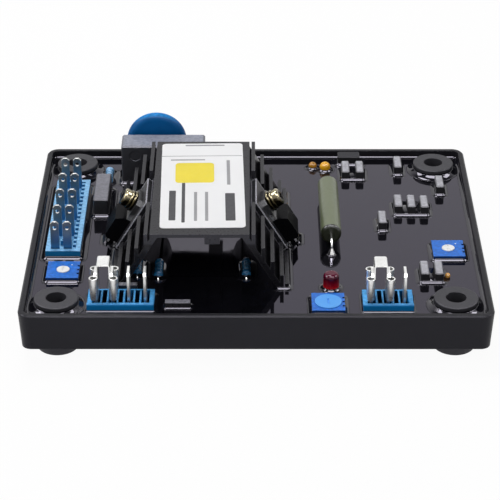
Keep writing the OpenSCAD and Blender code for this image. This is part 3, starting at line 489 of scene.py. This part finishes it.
def waterline(name):
    """Box of the places where a node passes through the resin's surface."""
    points, crossings = points_of(name), []
    for edge in nodes[name].data.edges:
        low, high = sorted((points[i] for i in edge.vertices), key=lambda p: p.z)
        if low.z < RESIN_TOP < high.z:
            crossings.append(low.lerp(high, (RESIN_TOP - low.z) / (high.z - low.z)))
    return box_of(crossings)


# Resin that has crept up the walls and round every piece that stands in it
CREEP_STEPS = 10
CREEP_SINK = 0.05 * MM
SHARP_CORNER = 0.3 * MM
# Sizes of what it clings to
BUSH_FLANGE_R = 7.1 * MM
WOUND_LEAD = 5.2 * MM
LEAD_HALF = 0.4 * MM
FOOT_W = 3.5 * MM
WALL_CORNER = 2.1 * MM
CASE_CORNER = 0.7 * MM
TRIMMER_CORNER = 0.9 * MM
AXIAL_CORNER = 1.0 * MM
# How far the resin climbs, how far out it starts to, and how sharply it turns up
WALL_CREEP = (0.65 * MM, 1.3 * MM, 2.6)
TALL_CREEP = (1.3 * MM, 2.2 * MM, 2.6)
SMALL_CREEP = (0.9 * MM, 1.6 * MM, 2.6)
HEADER_CREEP = (0.55 * MM, 1.0 * MM, 2.6)
TRIMMER_CREEP = (1.0 * MM, 1.5 * MM, 2.0)
BUSH_CREEP = (1.5 * MM, 2.4 * MM, 2.0)
LEAD_CREEP = (1.5 * MM, 1.3 * MM, 2.6)
AXIAL_CREEP = (0.9 * MM, 2.2 * MM, 2.6)
DEVICE_CREEP = (1.0 * MM, 2.0 * MM, 2.6)
# Upright pieces with the corner and the climb of the resin round them
STANDING = (
    (("terminal_block", "box_capacitor", "narrow_capacitor", "wide_capacitor"), CASE_CORNER, TALL_CREEP),
    (("left_header", "right_header", "front_network", "rear_network"), SHARP_CORNER, HEADER_CREEP),
    (("left_trimmer", "right_trimmer", "front_trimmer"), TRIMMER_CORNER, TRIMMER_CREEP),
)
# Film capacitors that stand so close that the resin joins them
FILM_GROUPS = ((1, 2), (3,), (4,), (5, 6, 7), (8,), (9, 10))


def creep(bm, x, y, w, d, r, climb, inward=False, filled=False):
    """A closed ring of resin that rises towards the wall it clings to, or a filled mound."""
    rise, reach, power = climb
    loops = []
    for k in range(CREEP_STEPS + 1):
        t = reach * k / CREEP_STEPS
        z = RESIN_TOP + rise * (1.0 - k / CREEP_STEPS) ** power
        grow = -t if inward else t
        corner = max(r + grow, SHARP_CORNER)
        loops.append([(px, py, z) for px, py in outline(x, y, w + 2 * grow, d + 2 * grow, corner)])
    foot = loops[-1] if filled else loops[0]
    loops.append([(px, py, RESIN_TOP - CREEP_SINK) for px, py, _ in foot])
    rings = loft(bm, loops, closed=not filled)
    if filled:
        cap(bm, rings)


def creep_round(bm, x, y, r, climb):
    creep(bm, x, y, 2 * r, 2 * r, r, climb)


def creep_box(bm, lo, hi, corner, climb, filled=False):
    creep(bm, *middle_of(lo, hi), hi.x - lo.x, hi.y - lo.y, corner, climb, filled=filled)


def make_creep():
    bm = bmesh.new()
    lo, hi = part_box("resin")
    creep(bm, 0.0, 0.0, hi.x - lo.x, hi.y - lo.y, WALL_CORNER, WALL_CREEP, inward=True)
    for names, corner, climb in STANDING:
        for name in names:
            creep_box(bm, *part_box(name), corner, climb)
    for group in FILM_GROUPS:
        lo, hi = joint_box([f"film_capacitor_{i}" for i in group])
        creep_box(bm, lo, hi, CASE_CORNER, SMALL_CREEP, filled=True)
    for name in ("bush_front_left", "bush_front_right", "bush_back_left", "bush_back_right"):
        creep_round(bm, *middle_of(*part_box(name)), BUSH_FLANGE_R, BUSH_CREEP)
    for name in ("indicator_lamp", "back_bead_small", "back_bead_large"):
        lo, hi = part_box(name)
        creep_round(bm, *middle_of(lo, hi), (hi.x - lo.x) / 2, SMALL_CREEP)
    lo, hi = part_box("wirewound_resistor")
    for y in (lo.y - WOUND_LEAD, hi.y + WOUND_LEAD):
        creep_round(bm, (lo.x + hi.x) / 2, y, LEAD_HALF, LEAD_CREEP)
    for lo, hi in bodies("corner_resistor") + bodies("arch_resistors"):
        creep_box(bm, lo, hi, AXIAL_CORNER, AXIAL_CREEP)
    for name in ("left_device_frame", "right_device_frame"):
        creep_box(bm, *waterline(name), LEAD_HALF, DEVICE_CREEP, filled=True)
    lo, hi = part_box("heatsink")
    for x in (lo.x + FOOT_W / 2, hi.x - FOOT_W / 2):
        creep(bm, x, (lo.y + hi.y) / 2, FOOT_W, hi.y - lo.y, SHARP_CORNER, SMALL_CREEP)
    smooth(add_piece("resin_creep", bm, RESIN_EDGE))


# Low swelling of the resin under the arch, steepest just behind its crest
SWELL_RISE = 0.7 * MM
SWELL_SINK = 0.01 * MM
SWELL_HALF = 14.0 * MM
SWELL_SIDE = 4.0 * MM
SWELL_FRONT, SWELL_CREST, SWELL_BACK = -30.0 * MM, -16.0 * MM, 8.0 * MM
SWELL_STEPS = 24


def ease(t):
    return t * t * (3.0 - 2.0 * t)


def swell_height(x, y):
    side = min(1.0, (SWELL_HALF - abs(x)) / SWELL_SIDE)
    if y < SWELL_CREST:
        shape = ease((y - SWELL_FRONT) / (SWELL_CREST - SWELL_FRONT))
    else:
        shape = ((SWELL_BACK - y) / (SWELL_BACK - SWELL_CREST)) ** 2
    return SWELL_RISE * shape * ease(side)


def make_swell():
    bm = bmesh.new()
    middle, _ = middle_of(*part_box("heatsink"))
    low = RESIN_TOP - CREEP_SINK
    across = [SWELL_HALF * (2.0 * i / SWELL_STEPS - 1.0) for i in range(SWELL_STEPS + 1)]
    loops = []
    for j in range(SWELL_STEPS + 1):
        y = SWELL_FRONT + (SWELL_BACK - SWELL_FRONT) * j / SWELL_STEPS
        top = [(middle + x, y, RESIN_TOP - SWELL_SINK + swell_height(x, y)) for x in across]
        loops.append([(top[0][0], y, low), *top, (top[-1][0], y, low)])
    cap(bm, loft(bm, loops))
    return smooth(add_piece("resin_swell", bm, MATERIALS["resin"]))


# Plain print on the label: bars, rules and a field of colour, as (x, y, w, d) in mm from the label's middle
PRINT_T = 0.02 * MM
LABEL_TURN = math.radians(1.2)
DARK_BARS = [(-9.9, -14.9, 2.2, 20.6), (-6.3, -12.9, 1.1, 27.6), (9.0, -16.2, 3.2, 19.0)]
GREY_BARS = [(-0.2, 20.8, 27.4, 0.35), (-2.3, -15.7, 1.0, 20.0), (1.3, -15.7, 1.0, 20.0),
             (8.7, 8.4, 1.1, 18.0), (0.9, 28.9, 13.4, 0.9), (-4.9, 17.9, 11.6, 0.8)]
YELLOW_FIELD = [(-2.6, 8.3, 13.0, 14.6)]
BAR_CORNER, RULE_CORNER, FIELD_CORNER = 0.3 * MM, 0.15 * MM, 1.5 * MM


def add_print(name, places, corner, ink):
    lo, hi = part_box("label")
    middle = Vector((*middle_of(lo, hi), hi.z))
    bm = bmesh.new()
    for x, y, w, d in places:
        plate(bm, middle.x + x * MM, middle.y + y * MM, w * MM, d * MM, corner, middle.z, PRINT_T)
    bmesh.ops.rotate(bm, cent=middle, matrix=Matrix.Rotation(LABEL_TURN, 3, "Z"), verts=bm.verts)
    add_piece(name, bm, ink)


def make_print():
    add_print("label_bars", DARK_BARS, BAR_CORNER, INK_DARK)
    add_print("label_rules", GREY_BARS, RULE_CORNER, INK_GREY)
    add_print("label_field", YELLOW_FIELD, FIELD_CORNER, INK_YELLOW)


# White index dot on each small trimmer
DOT_W = 0.5 * MM
DOT_CORNER = 0.24 * MM
DOT_INSET = (2.6 * MM, 2.4 * MM)


def make_dots():
    bm = bmesh.new()
    for name in ("left_trimmer", "right_trimmer"):
        _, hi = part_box(name)
        plate(bm, hi.x - DOT_INSET[0], hi.y - DOT_INSET[1], DOT_W, DOT_W, DOT_CORNER, hi.z, PRINT_T)
    add_piece("trimmer_dots", bm, MATERIALS["rotor_white"])


# Studio: pale floor, white surroundings and soft lamps
FLOOR_HALF = 4.0
FLOOR_DARK, FLOOR_PALE = (0.9, 0.9, 0.9), (0.92, 0.92, 0.92)
FLOOR_GRAIN = 30.0
FLOOR_ROUGHNESS, FLOOR_LEVEL = 0.8, 0.1
FLOOR_GLOW = 0.95
WHITE = (1.0, 1.0, 1.0)
DIM_CEILING = (0.12, 0.12, 0.13)
AMBIENT = 0.42
SWEEP_TOP, CEILING_START = math.radians(36.0), math.radians(52.0)
# Name, place, target, size, radiance, and whether only gloss shows it
LAMPS = (
    ("lamp_top", (-0.12, 0.32, 0.8), (0.0, 0.0, 0.0), (0.28, 0.22), 15.5, False),
    ("lamp_front", (0.35, -0.7, 0.6), (0.0, 0.0, 0.02), (0.3, 0.3), 3.0, False),
    ("lamp_left", (-0.7, -0.15, 0.45), (0.0, 0.0, 0.02), (0.3, 0.3), 6.0, False),
    ("glint_front", (0.0, -0.36, 0.9), (0.0, 0.0, 0.0), (0.8, 0.36), 13.5, True),
    ("glint_left", (-0.7, 0.08, 0.68), (0.0, 0.0, 0.0), (0.36, 0.36), 12.0, True),
    ("glint_right", (0.7, 0.08, 0.68), (0.0, 0.0, 0.0), (0.36, 0.36), 12.0, True),
)


def seen_directly(tree):
    """1 for camera, glossy and transmission rays."""
    path = tree.nodes.new("ShaderNodeLightPath")
    total = path.outputs["Is Camera Ray"]
    for name in ("Is Glossy Ray", "Is Transmission Ray"):
        node = tree.nodes.new("ShaderNodeMath")
        node.operation = "MAXIMUM"
        tree.links.new(total, node.inputs[0])
        tree.links.new(path.outputs[name], node.inputs[1])
        total = node.outputs[0]
    return total


def mix_shaders(tree, share, first, second, output):
    node = tree.nodes.new("ShaderNodeMixShader")
    for socket, source in zip(node.inputs, (share, first, second)):
        tree.links.new(source, socket)
    tree.links.new(node.outputs[0], tree.nodes[output].inputs["Surface"])


def make_floor():
    bm = bmesh.new()
    bmesh.ops.create_grid(bm, x_segments=1, y_segments=1, size=FLOOR_HALF)
    mesh = bpy.data.meshes.new("floor")
    bm.to_mesh(mesh)
    bm.free()
    mat, tree, bsdf = new_material("floor")
    grain = noise(tree, FLOOR_GRAIN)
    tree.links.new(mottle(tree, grain, FLOOR_DARK, FLOOR_PALE), bsdf.inputs["Base Color"])
    bsdf.inputs["Roughness"].default_value = FLOOR_ROUGHNESS
    bsdf.inputs["Specular IOR Level"].default_value = FLOOR_LEVEL
    glow = tree.nodes.new("ShaderNodeEmission")
    share = tree.nodes.new("ShaderNodeMath")
    share.operation = "MULTIPLY"
    share.inputs[1].default_value = FLOOR_GLOW
    tree.links.new(seen_directly(tree), share.inputs[0])
    mix_shaders(tree, share.outputs[0], bsdf.outputs[0], glow.outputs[0], "Material Output")
    mesh.materials.append(mat)
    obj = bpy.data.objects.new("floor", mesh)
    scene.collection.objects.link(obj)


def make_world():
    """Even light for the part; a white sweep under a dim ceiling where the surroundings are seen."""
    world = bpy.data.worlds.new("studio")
    world.use_nodes = True
    tree = world.node_tree
    back = tree.nodes["Background"]
    back.inputs["Color"].default_value = (*WHITE, 1.0)
    back.inputs["Strength"].default_value = AMBIENT
    seen = tree.nodes.new("ShaderNodeBackground")
    coord = tree.nodes.new("ShaderNodeTexCoord")
    height = axis_of(tree, coord.outputs["Generated"], "Z")
    sky = ramp(tree, height, [(math.sin(SWEEP_TOP), WHITE), (math.sin(CEILING_START), DIM_CEILING)])
    tree.links.new(sky, seen.inputs["Color"])
    seen.inputs["Strength"].default_value = 1.0
    mix_shaders(tree, seen_directly(tree), back.outputs[0], seen.outputs[0], "World Output")
    scene.world = world


def shielded(*pieces):
    """A collection of pieces that a lamp passes over."""
    group = bpy.data.collections.new("shielded")
    for piece in pieces:
        group.objects.link(piece)
    for entry in group.collection_objects:
        entry.light_linking.link_state = "EXCLUDE"
    return group


def make_lamps(unlit):
    """Soft lamps that the flat resin doesn't mirror."""
    for name, place, target, size, radiance, gloss_only in LAMPS:
        data = bpy.data.lights.new(name, "AREA")
        data.shape = "RECTANGLE"
        data.size, data.size_y = size
        data.energy = radiance * math.pi * size[0] * size[1]
        obj = bpy.data.objects.new(name, data)
        obj.location = place
        obj.rotation_euler = (Vector(target) - Vector(place)).to_track_quat("-Z", "Y").to_euler()
        obj.visible_diffuse = not gloss_only
        scene.collection.objects.link(obj)
        obj.light_linking.receiver_collection = unlit


make_camera()
dress_nodes()
make_creep()
swell = make_swell()
make_print()
make_dots()
make_floor()
make_world()
make_lamps(shielded(nodes["resin"], swell))
